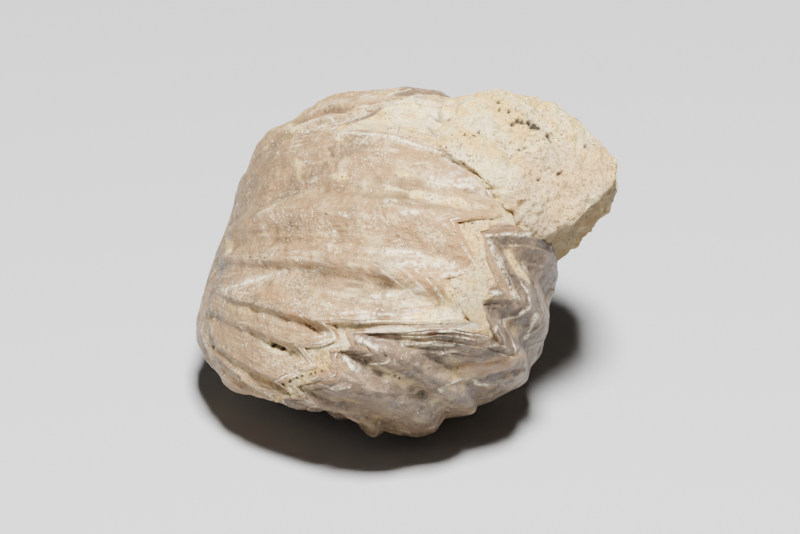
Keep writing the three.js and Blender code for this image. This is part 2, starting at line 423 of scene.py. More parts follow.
def row_stages():
    """Growth stages from the edge (1) to the beak (0)."""
    share = np.linspace(0, 1, ROWS)
    return 1 - (0.55 * share + 0.45 * share ** 2)


def grid_of_half(side, lip):
    """The smooth sheet of one half, with the coordinates that its relief needs."""
    angle, stage = np.meshgrid(column_angles(), row_stages(), indexing="ij")
    trend = seam_trend(angle)
    along_lip = np.stack([np.radians(angle) * SHELL_WIDTH / 2, side + 0 * angle, 0 * angle], axis=-1)
    ragged = LIP_RAGGED * layered(along_lip, ((1, 1.3, 1), (0.6, 0.5, 2)))
    lip_height = line_height(lip, angle) + ragged
    up = side * 90 * (1 - stage) + stage * trend + (lip_height - trend) * stage ** 6
    body = body_point(angle, up)[0]
    lengths = np.linalg.norm(np.diff(body, axis=1), axis=-1)
    column_length = lengths.sum(axis=1, keepdims=True)
    growth = (side * 90 - up) / (side * 90 - lip_height)
    return {
        "side": side, "angle": angle, "stage": stage, "up": up, "body": body,
        "wave": side * rib_wave(angle),
        "from_lip": (1 - growth) * column_length,
        "around": np.radians(angle) * SHELL_WIDTH / 2,
    }


print("points on each half:", COLUMNS * ROWS)

# %% [markdown]
# ## Ribs, growth layers and wear
#
# Close up, the ribs are rounded on top with a tighter crease between them. Across them run
# overlapping growth layers, like shingles: each thins out and ends in a small step. Years
# in the sea and in stone have worn them unevenly. A displacement modifier could do this,
# but the steps have to keep their distance from the lip, so they are added to the grid.

# %% Rounded ribs
RIB_SHARE = 0.7
RIB_CREASE = 0.8
WORN_END_SHARE = 0.4


def rib_relief(grid):
    """Ribs that start past the beak and die out into the zigzag at the edge."""
    angle, stage = grid["angle"], grid["stage"]
    share, short = RIB_SHARE, 0
    if grid["side"] > 0:
        share = RIB_SHARE * (1 - WORN_END_SHARE * rise(np.abs(angle + 5), 45, 62))
        short = rise(angle, 32, 52) + 0.5 * rise(-angle, 32, 52)
    past_beak = rise(stage, 0.05 + 0.4 * short, 0.8 + 0.12 * short)
    before_edge = rise(1 - stage, -0.04, 0.08)
    rounded = 2 * ((1 + grid["wave"]) / 2) ** RIB_CREASE - 1
    return share * rib_height(angle) * rounded * before_edge * past_beak


# %% Growth layers
LAYER_STEP = {1: 0.07, -1: 0.15}
LAYER_CLOSENESS = {1: 2.9, -1: 2.2}
LAYERS_REACH = {1: 7, -1: 16}
FINE_STEP = 0.02
FINE_CLOSENESS = 13
FIRST_LAYER = 1.6


def growth_steps(distance, closeness, sharpness):
    """Shingled steps over a distance in mm: 1 at each free edge, then thinning out."""
    number = np.floor(closeness * np.log1p(distance / FIRST_LAYER))
    edge = FIRST_LAYER * np.expm1(number / closeness)
    next_edge = FIRST_LAYER * np.expm1((number + 1) / closeness)
    past_edge = distance - edge
    thin = (1 - past_edge / (next_edge - edge)) ** sharpness
    return thin * rise(past_edge, 0, 0.14), past_edge


def layer_relief(grid, points):
    """Growth layers and finer lines, where they haven't worn away."""
    side, from_lip = grid["side"], grid["from_lip"]
    wander = layered(points, ((0.35, 4.0, 3), (0.14, 1.2, 4))) * rise(from_lip, 0.1, 1.5)
    distance = np.maximum(from_lip + wander, 0)
    steps, past_edge = growth_steps(distance, LAYER_CLOSENESS[side], 1.4)
    fine = growth_steps(distance + 0.3 * uneven(points, 0.9, 5), FINE_CLOSENESS, 1.0)[0]
    worn = layered(points, ((1, 3.2, 6), (0.5, 1.1, 7)))
    kept = rise(worn + 0.9 - from_lip / LAYERS_REACH[side], 0.0, 0.9)
    fine_kept = rise(uneven(points, 2.4, 8) + 0.5 - from_lip / 12, 0.2, 1.0)
    grid["free_edge"] = kept * rise(past_edge, 0.02, 0.12) * (1 - rise(past_edge, 0.2, 0.42))
    return LAYER_STEP[side] * (steps - 0.4) * kept + FINE_STEP * fine * fine_kept


# %% Wear and streaks
WEAR = ((0.16, 4.2, 11), (0.13, 1.9, 12), (0.08, 0.9, 13), (0.035, 0.42, 14))
STREAKS = ((0.06, 0.6, 15), (0.03, 0.26, 16))
STREAK_DRAWN_OUT = 0.14


def streaks(grid):
    """Fine lines and low welts that run along the ribs, like wood grain."""
    drawn_out = grid["from_lip"] * STREAK_DRAWN_OUT
    along = np.stack([grid["around"], drawn_out, 0 * drawn_out], axis=-1)
    return rise(uneven(grid["body"], 3.0, 9), -0.2, 0.6) * layered(along, STREAKS)


# %% [markdown]
# ## Marks that sit at one place
#
# Some things are particular to this fossil: a crease where a rib begins, a crack in the
# lower left edge, a patch of cream stone, a row of pits. Painting or sculpting them by hand
# would work too, but lists can be read and changed. They are written over the photograph:
# lines with a width in millimetres (and a depth for grooves, less than 0 for a low ridge),
# outlines of patches, and pits with a radius in pixels. A point of the surface that faces
# the camera gets the mark if it is close to the line. Most marks fade where the surface
# turns away from the camera, so that none ends in a hard line.

# %% Distance to marks drawn on the photograph
JUST_SEEN = 0.05
ALMOST_NONE = 1e-9


def seen_spots(points, facing):
    """Spots in the photograph of the points that face it; the others lie far off."""
    return np.where((facing @ view_back)[..., None] > JUST_SEEN, in_photo(points), -NEVER)


def well_seen(facing):
    """1 where the surface faces the photograph well, falling to 0 at its outline."""
    return rise(facing @ view_back, 0.06, 0.28)


def line_distance(spots, line):
    """How far spots are from a line drawn on the photograph, in mm."""
    nearest = np.full(spots.shape[:-1], NEVER)
    for start, end in zip(np.array(line[:-1], float), np.array(line[1:], float)):
        way = end - start
        share = np.clip(((spots - start) @ way) / (way @ way), 0, 1)
        gap = np.linalg.norm(spots - start - share[..., None] * way, axis=-1)
        nearest = np.minimum(nearest, gap / PIXELS_PER_MM)
    return nearest


def inside_distance(spots, outline):
    """How deep spots lie inside a closed outline, in mm; less than 0 outside it."""
    corners = np.array(outline, float)
    inside = np.zeros(spots.shape[:-1], bool)
    for (ax, ay), (bx, by) in zip(corners, np.roll(corners, -1, axis=0)):
        crosses = (ay > spots[..., 1]) != (by > spots[..., 1])
        at = ax + (spots[..., 1] - ay) * (bx - ax) / (by - ay if by != ay else ALMOST_NONE)
        inside ^= crosses & (spots[..., 0] < at)
    gap = line_distance(spots, [*outline, outline[0]])
    return np.where(inside, gap, -gap)


def line_mask(spots, lines, ragged=0.0):
    """1 on any of the lines, fading over each one's width in mm."""
    mask = np.zeros(spots.shape[:-1])
    for width, line in lines:
        away = line_distance(spots, line) + ragged
        mask = np.maximum(mask, np.exp(-(away / (0.8 * width)) ** 2))
    return mask


def patch_mask(spots, patches, ragged=0.0):
    """1 inside any of the outlines, with an uneven edge."""
    mask = np.zeros(spots.shape[:-1])
    for outline in patches:
        mask = np.maximum(mask, rise(inside_distance(spots, outline) + ragged, -0.12, 0.2))
    return mask


def pit_mask(spots, pits, inner, outer, ragged=0.0):
    """1 in any of the pits, each a radius in pixels and a spot, fading from inner to outer."""
    mask = np.zeros(spots.shape[:-1])
    for radius, spot in pits:
        gap = np.linalg.norm(spots - spot, axis=-1) + ragged
        mask = np.maximum(mask, 1 - rise(gap, radius * inner, radius * outer))
    return mask


# %% Marks on the flat half
FLAT_GROOVES = [
    (0.30, 0.12, [(228, 224), (244, 218), (256, 210), (270, 201), (293, 193), (327, 189), (357, 188)]),
    (0.30, 0.30, [(278, 124), (312, 117), (330, 109), (364, 109), (379, 104), (394, 98), (415, 96)]),
    (0.25, 0.25, [(331, 126), (346, 128), (362, 121), (372, 118)]),
    (0.20, 0.10, [(357, 188), (385, 194), (420, 199), (460, 205), (492, 209)]),
    (0.40, 0.08, [(226, 262), (241, 254), (266, 253), (309, 250), (349, 257), (382, 263), (440, 270)]),
    (0.40, 0.06, [(215, 292), (233, 284), (257, 277), (288, 270), (340, 265), (357, 272)]),
    (0.45, 0.04, [(357, 272), (387, 290), (404, 299), (440, 308)]),
    (0.40, 0.05, [(266, 304), (286, 310), (302, 320), (321, 334)]),
    (0.12, 0.12, [(304, 322), (313, 329), (322, 336)]),
    (0.35, 0.06, [(247, 331), (258, 340), (271, 344), (284, 350), (298, 352)]),
    (0.12, 0.12, [(268, 341), (284, 350)]),
    (0.16, 0.10, [(256, 373), (270, 382), (284, 392), (297, 397)]),
    (0.12, 0.12, [(214, 347), (216, 359), (226, 369), (239, 378)]),
    (0.35, 0.05, [(241, 230), (244, 246)]),
    (0.30, -0.12, [(199, 292), (198, 306), (203, 322), (206, 340), (213, 356)]),
    (0.20, 0.10, [(204, 292), (203, 306), (208, 322), (211, 338)]),
    (0.30, 0.12, [(469, 189), (494, 190)]),
    (0.12, 0.14, [(329, 150), (334, 158)]),
    (0.12, 0.12, [(380, 203), (392, 202)]),
    (0.45, 0.30, [(214, 318), (216, 320)]),
    (0.25, 0.20, [(272, 345), (282, 349)]),
    (0.30, 0.16, [(200, 318), (206, 330), (212, 345)]),
]
# White lines of the calcite; the line along the upper lip, from (341, 131), is a painted highlight.
FLAT_WHITE_AND_GLINTS = [
    (0.30, [(383, 252), (420, 254)]),
    (0.30, [(398, 263), (430, 264), (453, 266)]),
    (0.30, [(372, 297), (400, 293), (420, 290)]),
    (0.16, [(340, 313), (358, 312), (372, 312), (380, 315), (404, 315)]),
    (0.35, [(362, 318), (372, 317)]),
    (0.14, [(342, 326), (360, 323), (378, 321)]),
    (0.16, [(440, 322), (460, 320)]),
    (0.40, [(462, 314), (467, 311)]),
    (0.30, [(430, 184), (456, 185), (484, 187)]),
    (0.22, [(424, 177), (442, 180), (466, 180)]),
    (0.18, [(386, 201), (396, 201)]),
    (0.30, [(404, 212), (416, 213)]),
    (0.14, [(341, 131), (380, 136), (397, 140), (413, 144), (435, 150), (459, 157)]),
    (0.14, [(462, 244), (468, 254), (477, 268)]),
    (0.16, [(442, 276), (452, 274), (475, 272)]),
    (0.14, [(435, 288), (441, 297), (443, 307)]),
    (0.10, [(267, 212), (278, 224)]),
    (0.10, [(334, 230), (336, 238)]),
    (0.10, [(331, 245), (330, 251)]),
    (0.15, [(408, 212), (417, 214)]),
    (0.10, [(339, 213), (346, 216)]),
    (0.20, [(222, 290), (245, 284), (262, 278), (285, 272)]),
    (0.16, [(197, 294), (196, 306), (201, 322), (204, 340), (212, 356)]),
]
FLAT_CREAM = [
    [(383, 185), (396, 187), (410, 190), (430, 191), (446, 195), (470, 202), (491, 209), (470, 209),
     (442, 205), (420, 200), (409, 196), (408, 192), (384, 189)],
    [(394, 172), (412, 171), (426, 175), (442, 179), (420, 178), (398, 176)],
    [(224, 238), (232, 240), (231, 252), (224, 256)],
    [(258, 339), (268, 342), (270, 349), (261, 346)],
    [(446, 284), (452, 289), (462, 302), (469, 312), (460, 322), (400, 324), (372, 322), (400, 318),
     (425, 310), (444, 308), (446, 296)],
    [(284, 122), (302, 123), (302, 132), (290, 134)],
    [(294, 158), (303, 160), (301, 178), (295, 182)],
    [(334, 134), (343, 136), (342, 143), (335, 141)],
    [(330, 176), (345, 172), (350, 180), (338, 184)],
    [(420, 254), (448, 262), (452, 266), (425, 263)],
]
FLAT_WARM = [
    [(255, 290), (285, 283), (290, 300), (265, 305)],
    [(395, 270), (425, 266), (444, 278), (446, 288), (436, 292), (420, 286), (400, 280)],
    [(444, 226), (457, 222), (480, 268), (470, 270), (448, 240)],
    [(396, 143), (412, 146), (426, 153), (420, 161), (402, 158)],
    [(446, 276), (478, 274), (478, 280), (446, 280)],
    [(430, 282), (445, 286), (443, 304), (437, 296)],
    [(460, 210), (495, 210), (508, 218), (492, 221), (460, 221)],
    [(346, 324), (380, 323), (440, 324), (476, 319), (480, 326), (440, 331), (400, 330), (350, 330)],
    [(284, 304), (302, 314), (322, 330), (314, 332), (290, 318)],
    [(304, 342), (312, 340), (316, 346), (306, 350)],
]
FLAT_DARK = [
    [(345, 192), (385, 191), (406, 193), (412, 198), (440, 206), (470, 211), (440, 211), (400, 204),
     (365, 198)],
    [(396, 177), (425, 180), (432, 189), (412, 189), (390, 184)],
    [(262, 150), (285, 142), (292, 165), (272, 174)],
    [(300, 168), (328, 163), (336, 184), (305, 190)],
    [(194, 300), (212, 262), (224, 250), (236, 262), (222, 285), (212, 300), (207, 345), (196, 345)],
    [(236, 160), (262, 146), (274, 175), (264, 215), (236, 230), (232, 195)],
    [(280, 212), (300, 214), (302, 232), (284, 232)],
    [(205, 315), (225, 312), (226, 326), (208, 326)],
]
FLAT_FROST = [
    (0.9, [(365, 215), (400, 222)]), (0.7, [(380, 205), (420, 212)]), (0.6, [(372, 250), (420, 256)]),
    (0.8, [(395, 264), (450, 268)]), (0.9, [(228, 296), (262, 283)]), (1.0, [(286, 278), (304, 292)]),
    (0.8, [(297, 300), (330, 310)]), (0.7, [(400, 165), (440, 172)]),
    (0.7, [(280, 203), (262, 212)]), (0.6, [(340, 300), (420, 300)]),
    (0.5, [(330, 131), (400, 141), (455, 155)]),
    (0.8, [(256, 305), (270, 310)]), (0.8, [(420, 225), (440, 240)]), (1.0, [(270, 360), (295, 352)]),
    (0.9, [(300, 365), (285, 372)]), (0.6, [(325, 226), (336, 250)]), (0.6, [(350, 232), (378, 240)]),
    (0.5, [(248, 258), (275, 255)]),
]
FLAT_PITS = [
    (1.5, (290, 223)), (1.0, (292, 226)), (1.0, (288, 226)), (1.0, (326, 214)), (1.0, (306, 163)),
    (1.8, (272, 346)), (1.4, (275, 344)), (1.8, (281, 349)), (1.0, (404, 299)), (1.0, (461, 224)),
    (1.2, (250, 257)), (1.0, (257, 256)), (1.0, (265, 258)),
]
FLAT_MARKS = {
    "grooves": FLAT_GROOVES, "white": FLAT_WHITE_AND_GLINTS, "cream": FLAT_CREAM, "warm": FLAT_WARM,
    "dark": FLAT_DARK, "frost": FLAT_FROST, "pits": FLAT_PITS,
    "brown": [], "smooth": [], "stone": [], "tongue": [],
}
print("grooves on the flat half:", len(FLAT_GROOVES))

# %% Marks on the deep half
DEEP_GROOVES = [
    (0.18, 0.30, [(478, 303), (484, 316), (490, 331), (497, 343)]),
    (0.20, 0.12, [(478, 303), (500, 304), (517, 304)]),
    (0.18, 0.25, [(489, 241), (499, 262), (509, 281), (516, 300)]),
    (0.15, 0.20, [(505, 262), (515, 280), (521, 296)]),
    (0.20, 0.04, [(370, 350), (405, 348), (450, 349), (480, 346)]),
    (0.30, 0.08, [(350, 358), (400, 357), (440, 362)]),
    (0.25, 0.15, [(296, 384), (320, 384), (334, 384)]),
    (0.20, 0.12, [(316, 389), (348, 392), (400, 398), (425, 396)]),
    (0.45, -0.14, [(330, 349), (345, 361), (358, 374), (372, 388)]),
    (0.45, -0.14, [(352, 344), (368, 356), (388, 372), (404, 384)]),
    (0.40, 0.10, [(342, 352), (356, 366), (376, 384)]),
    (0.40, -0.12, [(440, 376), (456, 378), (470, 368), (492, 362)]),
    (0.40, -0.12, [(424, 402), (446, 396), (462, 384), (484, 378)]),
    (0.20, 0.18, [(338, 415), (360, 418), (390, 424)]),
    (0.20, 0.15, [(430, 370), (460, 366), (500, 362), (520, 352)]),
    (0.20, 0.15, [(420, 395), (450, 386), (480, 380), (515, 372)]),
]
DEEP_WHITE = [
    (0.12, [(486, 236), (505, 234), (516, 235)]),
    (0.22, [(505, 234), (520, 235), (531, 234)]),
    (0.12, [(489, 240), (493, 250), (497, 258)]),
    (0.26, [(498, 262), (503, 272), (509, 281)]),
    (0.14, [(509, 281), (513, 288), (517, 298)]),
    (0.20, [(491, 293), (505, 293)]),
    (0.14, [(440, 332), (460, 329), (477, 326)]),
    (0.16, [(403, 344), (430, 344), (453, 346)]),
    (0.14, [(437, 353), (458, 352)]),
    (0.20, [(358, 338), (368, 344), (378, 350)]),
    (0.24, [(344, 358), (352, 368)]),
    (0.18, [(526, 338), (530, 328), (537, 316)]),
    (0.14, [(474, 382), (488, 385)]),
    (0.14, [(440, 391), (456, 380), (466, 376)]),
    (0.14, [(500, 322), (495, 332)]),
    (0.12, [(318, 384), (335, 388), (350, 387)]),
    (0.12, [(488, 348), (496, 345)]),
]
# Mostly painted shade: facets under the steps of the lip, hollows under the teeth and the right flank.
DEEP_SHADE_AND_DARK = [
    [(479, 303), (517, 302), (515, 311), (505, 320), (490, 320), (482, 311)],
    [(500, 243), (540, 243), (553, 250), (553, 270), (545, 282), (530, 276), (518, 264), (512, 250)],
    [(515, 300), (550, 290), (548, 330), (520, 380), (490, 390), (480, 360)],
    [(534, 226), (556, 250), (556, 300), (548, 345), (526, 350), (520, 310), (530, 270)],
    [(336, 352), (380, 354), (430, 360), (440, 368), (380, 366), (345, 356)],
]
DEEP_CREAM = [
    [(410, 98), (430, 99), (444, 103), (440, 112), (442, 123), (436, 121), (424, 111)],
    [(504, 251), (511, 250), (516, 259), (520, 267), (527, 274), (528, 282), (520, 277), (512, 264)],
    [(477, 289), (488, 288), (486, 296), (478, 299)],
]
DEEP_WARM = [
    [(474, 229), (520, 226), (520, 232), (488, 236), (492, 247), (500, 268), (508, 284), (500, 287),
     (494, 272), (484, 250)],
    [(502, 286), (512, 288), (517, 300), (486, 301), (487, 297), (506, 296)],
    [(346, 330), (353, 329), (355, 342), (352, 345)],
    [(360, 343), (372, 350), (362, 352), (354, 347)],
    [(332, 358), (345, 360), (351, 372), (340, 377), (332, 371)],
    [(518, 222), (531, 226), (530, 234), (519, 233)],
    [(292, 384), (330, 378), (345, 378), (330, 383), (305, 388)],
    [(460, 368), (520, 350), (530, 356), (500, 374), (470, 378)],
]
DEEP_BROWN = [
    (0.14, [(496, 254), (503, 264), (512, 278), (520, 292)]),
    (0.16, [(479, 303), (484, 314), (490, 323), (497, 338), (501, 346)]),
    (0.16, [(331, 352), (345, 353), (356, 351)]),
    (0.14, [(430, 334), (438, 334)]),
    (0.12, [(486, 289), (500, 291)]),
    (0.12, [(300, 384), (320, 381), (334, 380)]),
]
DEEP_FROST = [
    (0.6, [(414, 99), (432, 108), (440, 120)]), (0.5, [(430, 130), (445, 143)]),
    (0.7, [(505, 255), (522, 275)]), (0.6, [(437, 352), (465, 354)]), (0.8, [(390, 395), (425, 400)]),
    (0.6, [(352, 345), (362, 360)]), (0.8, [(400, 366), (420, 378)]), (0.7, [(470, 378), (450, 392)]),
    (0.6, [(525, 340), (537, 312)]), (0.8, [(372, 372), (350, 362)]), (0.5, [(490, 325), (500, 340)]),
    (0.8, [(430, 410), (450, 404)]), (0.8, [(390, 412), (410, 420)]),
]
DEEP_PITS = [
    (1.2, (494, 309)), (0.9, (488, 308)), (0.9, (503, 306)), (0.9, (508, 308)), (1.0, (399, 377)),
    (0.9, (395, 375)), (1.0, (428, 391)), (1.0, (365, 362)), (0.9, (370, 360)),
]
DEEP_SMOOTH = [[(352, 326), (490, 328), (496, 350), (440, 356), (360, 352)]]
STONE_ON_FLANK = [
    [(347, 128), (371, 117), (380, 110), (395, 101), (418, 97), (452, 98), (500, 140), (540, 215),
     (550, 240), (534, 236), (516, 222), (508, 216), (494, 193), (486, 179), (473, 165), (458, 154),
     (435, 150), (413, 144), (380, 136)],
]
SHELL_TONGUE = [
    [(408, 96), (430, 98), (446, 101), (441, 110), (444, 126), (436, 124), (424, 112)],
    [(425, 126), (434, 132), (451, 147), (444, 146), (431, 137)],
]
DEEP_MARKS = {
    "grooves": DEEP_GROOVES, "white": DEEP_WHITE, "cream": DEEP_CREAM, "warm": DEEP_WARM,
    "dark": DEEP_SHADE_AND_DARK, "frost": DEEP_FROST, "pits": DEEP_PITS, "brown": DEEP_BROWN,
    "smooth": DEEP_SMOOTH, "stone": STONE_ON_FLANK, "tongue": SHELL_TONGUE,
}
print("grooves on the deep half:", len(DEEP_GROOVES))

# %% [markdown]
# ## Colours as numbers on the mesh
#
# The calcite is a warm tan, blotched with pink and grey. Cream stone lies in the furrows,
# the free edges of the growth layers get a painted highlight, and parts look frosted. Painted
# shade darkens the hollows, the flanks that face sideways and shaded facets of the deep half,
# and a painted highlight lightens the ridges. An image could hold all that, but here each is
# one number per point, worked out where the shape is made, so that colours agree with relief.
# The material turns the numbers into colour and adds what is finer.

# %% Hollows and grooves
GROOVE_BANK = 0.25
NARROW_HOLLOW = (4, 0.09)
BROAD_HOLLOW = (14, 0.3)


def averaged(values, reach):
    """Means over a square of neighbours, for telling hollows from ridges."""
    for axis in (0, 1):
        padded = np.pad(values, [(reach + 1, reach) if a == axis else (0, 0) for a in (0, 1)], "edge")
        run = np.cumsum(padded, axis=axis)
        first = np.take(run, range(run.shape[axis] - 2 * reach - 1), axis=axis)
        last = np.take(run, range(2 * reach + 1, run.shape[axis]), axis=axis)
        values = (last - first) / (2 * reach + 1)
    return values


def hollowness(relief):
    """1 in hollows and -1 on ridges, both narrow and broad ones."""
    narrow, broad = (
        np.clip((averaged(relief, reach) - relief) / depth, -1, 1)
        for reach, depth in (NARROW_HOLLOW, BROAD_HOLLOW))
    return 0.6 * narrow + 0.4 * broad


def groove_depth(spots, grooves, ragged):
    """How deep the drawn grooves are, in mm, with a low bank along each."""
    total = np.zeros(spots.shape[:-1])
    for width, depth, line in grooves:
        away = line_distance(spots, line) + ragged
        bank = GROOVE_BANK * np.exp(-((away - 2 * width) / width) ** 2)
        total += depth * (np.exp(-(away / width) ** 2) - bank)
    return total


# %% Relief of one half
WHITE_PROUD = 0.06
BROWN_SUNK = 0.05
PIT_DEPTH = 0.12
STONE_PROUD = 0.25
STONE_GRIT = ((0.06, 0.5, 19), (0.05, 0.28, 20))


def shape_half(grid, marks):
    """Adds all relief to a grid and finds where its marks lie."""
    body, from_lip = grid["body"], grid["from_lip"]
    base, facing = swollen_point(grid["angle"], grid["up"])
    ribs = rib_relief(grid)
    spots = seen_spots(base + facing * ribs[..., None], facing)
    seen = well_seen(facing)
    ragged = 0.25 * uneven(body, 0.9, 17)
    tongue = patch_mask(spots, marks["tongue"], 0.3 * ragged)
    stone = patch_mask(spots, marks["stone"], ragged) * (1 - tongue)
    white = seen * line_mask(spots, marks["white"], 0.35 * ragged)
    brown = seen * line_mask(spots, marks["brown"], 0.3 * ragged)
    pit = pit_mask(spots, marks["pits"], 0.6, 1.5)

    off_lip = rise(from_lip, 0, 0.5)
    fine = (layer_relief(grid, body) + streaks(grid)) * off_lip + layered(body, WEAR) * (0.3 + 0.7 * off_lip)
    fine -= seen * groove_depth(spots, marks["grooves"], 0.06 * uneven(body, 0.6, 18))
    fine += WHITE_PROUD * white - BROWN_SUNK * brown - PIT_DEPTH * pit
    fine = fine * (1 - 0.8 * stone) + stone * (STONE_PROUD + layered(body, STONE_GRIT))
    grid["points"] = base + facing * (ribs + fine)[..., None]
    even = patch_mask(spots, marks["smooth"], ragged)
    # The hollow number darkens hollows with painted shade and lightens ridges with a painted highlight.
    grid["hollow"] = hollowness(0.4 * ribs + fine) * (1 - 0.6 * even)
    grid.update(facing=facing, spots=spots, seen=seen, ragged=ragged)
    grid.update(stone=stone, white=white, brown=brown, pit=pit)


# %% Colour values of one half
FLANK_SHADE = 0.6
FURROW_CREAM = 0.3
FROST_SHARE = {1: 1, -1: 0.6}
BLOTCHES = ((1, 2.6, 21), (0.6, 0.9, 22))


def colour_half(grid, marks):
    """Works out the numbers that the material turns into colour."""
    spots, seen, ragged, stone = (grid[title] for title in ("spots", "seen", "ragged", "stone"))
    blotch = layered(grid["body"], BLOTCHES)
    furrow = rise(-grid["wave"], 0.1, 0.95) * rise(grid["stage"], 0.25, 0.6)
    in_furrows = FURROW_CREAM * furrow * rise(blotch + grid["stage"], 0.6, 1.5)
    patches = seen * patch_mask(spots, marks["cream"], ragged)
    grid["cream"] = np.maximum(np.maximum(in_furrows, patches), stone)
    # Painted highlight on the free edges of the growth layers, joined with the white marks.
    sparkle = 0.8 * grid["free_edge"] * rise(blotch + 0.5, 0.2, 0.9)
    grid["white"] = np.maximum(sparkle, 0.75 * grid["white"]) * (1 - stone)
    # Painted shade on the flanks that face sideways, joined with the dark patches.
    flank = FLANK_SHADE * rise(np.abs(grid["facing"][..., 0]), 0.35, 0.9)
    grid["dark"] = np.maximum(flank, seen * patch_mask(spots, marks["dark"], ragged))
    grid["warm"] = seen * patch_mask(spots, marks["warm"], 0.8 * ragged)
    frosted = line_mask(spots, marks["frost"], 1.5 * ragged)
    grid["frost"] = FROST_SHARE[grid["side"]] * seen * frosted


# %% Helpers for making a piece
def grid_faces(columns, rows, flipped):
    """Four-sided faces over a grid of points."""
    corner = (np.arange(columns - 1)[:, None] * rows + np.arange(rows - 1)[None, :]).ravel()
    faces = np.stack([corner, corner + rows, corner + rows + 1, corner + 1], axis=1)
    return faces[:, ::-1] if flipped else faces


def within_bounds(points):
    """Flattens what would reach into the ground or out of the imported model's box."""
    low, high = (np.array(corner) / MM for corner in cad_box)
    return np.clip(points, low, high)


def make_piece(name, points, faces, values, material, node=None):
    """Makes a mesh object from points in mm and named numbers for its colours."""
    mesh = bpy.data.meshes.new(name)
    mesh.from_pydata((points * MM).tolist(), [], [list(face) for face in faces])
    mesh.validate()
    for title, numbers in values.items():
        layer = mesh.attributes.new(title, "FLOAT", "POINT")
        layer.data.foreach_set("value", np.asarray(numbers, dtype=np.float32).ravel())
    mesh.polygons.foreach_set("use_smooth", [True] * len(mesh.polygons))
    piece = bpy.data.objects.new(name, mesh)
    bpy.context.collection.objects.link(piece)
    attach(piece, "root")
    if node:
        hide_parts(node)
    mesh.materials.append(material)
    print(name, "faces:", len(mesh.polygons))


def close_half(grid):
    """Points and faces of one half, with the fan of inner faces behind the lip."""
    columns, rows = grid["stage"].shape
    points = grid["points"].reshape(-1, 3)
    middle = laid_down(FAN_MIDDLE[None, :])
    faces = grid_faces(columns, rows, grid["side"] < 0).tolist()
    lip = np.arange(columns) * rows
    for a, b in zip(lip[:-1], lip[1:]):
        faces.append([len(points), b, a] if grid["side"] > 0 else [len(points), a, b])
    return np.concatenate([points, middle]), faces


# %% [markdown]
# ## Materials of the shell
#
# Worn calcite is dull with a faint waxy gleam. Its colour could be painted, but nodes keep
# it sharp at any size: noise at several scales mixes tan, pink, grey and pale, the numbers
# on the mesh bring in stone, white edges, painted highlights and painted shade in hollows
# and on the flanks, and bump adds the finest grain.
# Streaks along the ribs need noise that is stretched along them, so the distance round
# the shell and the distance from the lip are stored on the mesh as well. The second one
# also gives the tan rim along each lip, with a broken white line and a dark one behind it.

# %% Helpers for materials
def new_material(name):
    """A material with a Principled shader, and its node tree."""
    material = bpy.data.materials.new(name)
    material.use_nodes = True
    tree = material.node_tree
    return material, tree, tree.nodes["Principled BSDF"]


def value_of(tree, title):
    """Reads one of the numbers kept on the mesh."""
    node = tree.nodes.new("ShaderNodeAttribute")
    node.attribute_type = "GEOMETRY"
    node.attribute_name = title
    return node.outputs["Fac"]


def noise(tree, size_mm, detail, roughness=0.55):
    """A noise texture whose lumps are about this many millimetres across."""
    place = tree.nodes.new("ShaderNodeTexCoord")
    node = tree.nodes.new("ShaderNodeTexNoise")
    node.inputs["Scale"].default_value = 1 / (MM * size_mm)
    node.inputs["Detail"].default_value = detail
    node.inputs["Roughness"].default_value = roughness
    tree.links.new(place.outputs["Object"], node.inputs["Vector"])
    return node.outputs["Fac"]


def streaky_noise(tree, across_mm, along_mm):
    """A noise texture drawn out along the ribs."""
    place = tree.nodes.new("ShaderNodeCombineXYZ")
    tree.links.new(times(tree, value_of(tree, "around"), 1 / across_mm), place.inputs["X"])
    tree.links.new(times(tree, value_of(tree, "from_lip"), 1 / along_mm), place.inputs["Y"])
    node = tree.nodes.new("ShaderNodeTexNoise")
    node.inputs["Scale"].default_value = 1
    node.inputs["Detail"].default_value = 4
    tree.links.new(place.outputs["Vector"], node.inputs["Vector"])
    return node.outputs["Fac"]


def steps(tree, source, low, high):
    """Stretches a value so that low becomes 0 and high becomes 1."""
    node = tree.nodes.new("ShaderNodeMapRange")
    node.interpolation_type = "SMOOTHSTEP"
    node.inputs["From Min"].default_value = low
    node.inputs["From Max"].default_value = high
    tree.links.new(source, node.inputs["Value"])
    return node.outputs["Result"]


def blotches(tree, size_mm, detail, low, high, roughness=0.55):
    """Noise turned into blotches: 0 below low, 1 above high."""
    return steps(tree, noise(tree, size_mm, detail, roughness), low, high)


def maths(tree, operation, first, second):
    """Joins two values, or a value and a number."""
    node = tree.nodes.new("ShaderNodeMath")
    node.operation = operation
    for socket, value in zip(node.inputs, (first, second)):
        if isinstance(value, (int, float)):
            socket.default_value = value
        else:
            tree.links.new(value, socket)
    return node.outputs["Value"]


def times(tree, first, second):
    """The product of two values, or of a value and a number."""
    return maths(tree, "MULTIPLY", first, second)


def colour(red, green, blue):
    """A colour as seen on screen, from 0 to 255, made ready for a shader."""
    seen = np.array([red, green, blue]) / 255
    straight = np.where(seen <= 0.04045, seen / 12.92, ((seen + 0.055) / 1.055) ** 2.4)
    return (*straight.tolist(), 1.0)


# A mix node has its sockets for colours after those for numbers and vectors.
MIX_COLOURS = slice(6, 8)
MIX_RESULT = 2


def painted(tree, tint, coats):
    """Lays coats over a tint, each a share from 0 to 1, a strength and a colour."""
    for share, strength, paint in coats:
        node = tree.nodes.new("ShaderNodeMix")
        node.data_type = "RGBA"
        share = times(tree, share, strength) if strength < 1 else share
        tree.links.new(share, node.inputs["Factor"])
        for socket, value in zip(node.inputs[MIX_COLOURS], (tint, paint)):
            if isinstance(value, tuple):
                socket.default_value = value
            else:
                tree.links.new(value, socket)
        tint = node.outputs[MIX_RESULT]
    return tint


